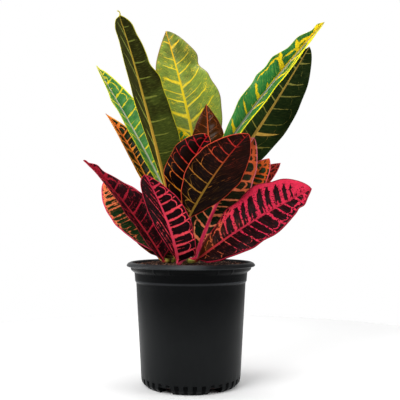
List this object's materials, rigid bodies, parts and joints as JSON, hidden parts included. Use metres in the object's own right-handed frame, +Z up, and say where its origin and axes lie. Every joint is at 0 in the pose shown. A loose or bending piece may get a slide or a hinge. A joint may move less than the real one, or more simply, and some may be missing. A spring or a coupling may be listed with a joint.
{
  "type": "potted croton",
  "caption": "Croton house plant with broad variegated leaves on woody stems, rooted in soil in a black nursery pot.",
  "frame": {"origin": "centre of the underside of the pot's base, on the surface that it stands on", "axes": "+Z up along the pot's axis, -Y towards the front of the plant, +X to the right seen from the front"},
  "size_m": [0.2984, 0.215, 0.4783],
  "materials": {
    "pot_plastic": "satin black moulded plastic",
    "potting_soil": "damp granular potting mix with bark",
    "stem_bark": "grey-brown young bark with leaf scars",
    "leaf_olive": "satin dark olive leaf underside with tan midrib",
    "leaf_green": "glossy green leaf with yellow veins",
    "leaf_maroon": "glossy near-black maroon leaf with orange veins",
    "leaf_orange": "glossy orange leaf with dark green patches",
    "leaf_crimson": "glossy crimson leaf with near-black patches"
  },
  "bodies": {
    "root": {"pot": "pot_plastic", "soil": "potting_soil", "stem_main": "stem_bark", "stem_left": "stem_bark", "stem_front": "stem_bark", "leaf_tall_olive": "leaf_olive", "leaf_broad_light": "leaf_green", "leaf_young_red": "leaf_maroon", "leaf_mottled_tip": "leaf_green", "leaf_bright_green": "leaf_green", "leaf_dark_olive": "leaf_olive", "leaf_maroon_left": "leaf_maroon", "leaf_maroon_front": "leaf_maroon", "leaf_pink_rib": "leaf_orange", "leaf_orange_spotted": "leaf_orange", "leaf_small_red": "leaf_crimson", "leaf_crimson_right": "leaf_crimson", "leaf_crimson_far_left": "leaf_crimson", "leaf_orange_left": "leaf_orange", "leaf_crimson_front": "leaf_crimson", "leaf_narrow_orange": "leaf_orange", "leaf_narrow_green": "leaf_green", "leaf_brown_behind": "leaf_maroon", "leaf_low_middle": "leaf_maroon", "leaf_high_right": "leaf_green", "leaf_high_left": "leaf_green", "leaf_back_tall": "leaf_green", "leaf_back_right": "leaf_green", "leaf_back_left": "leaf_green", "leaf_back_middle": "leaf_orange", "leaf_low_right": "leaf_crimson", "leaf_low_left": "leaf_orange", "leaf_low_back": "leaf_crimson", "leaf_low_back_left": "leaf_maroon", "leaf_low_back_right": "leaf_crimson"}
  },
  "joints": []
}
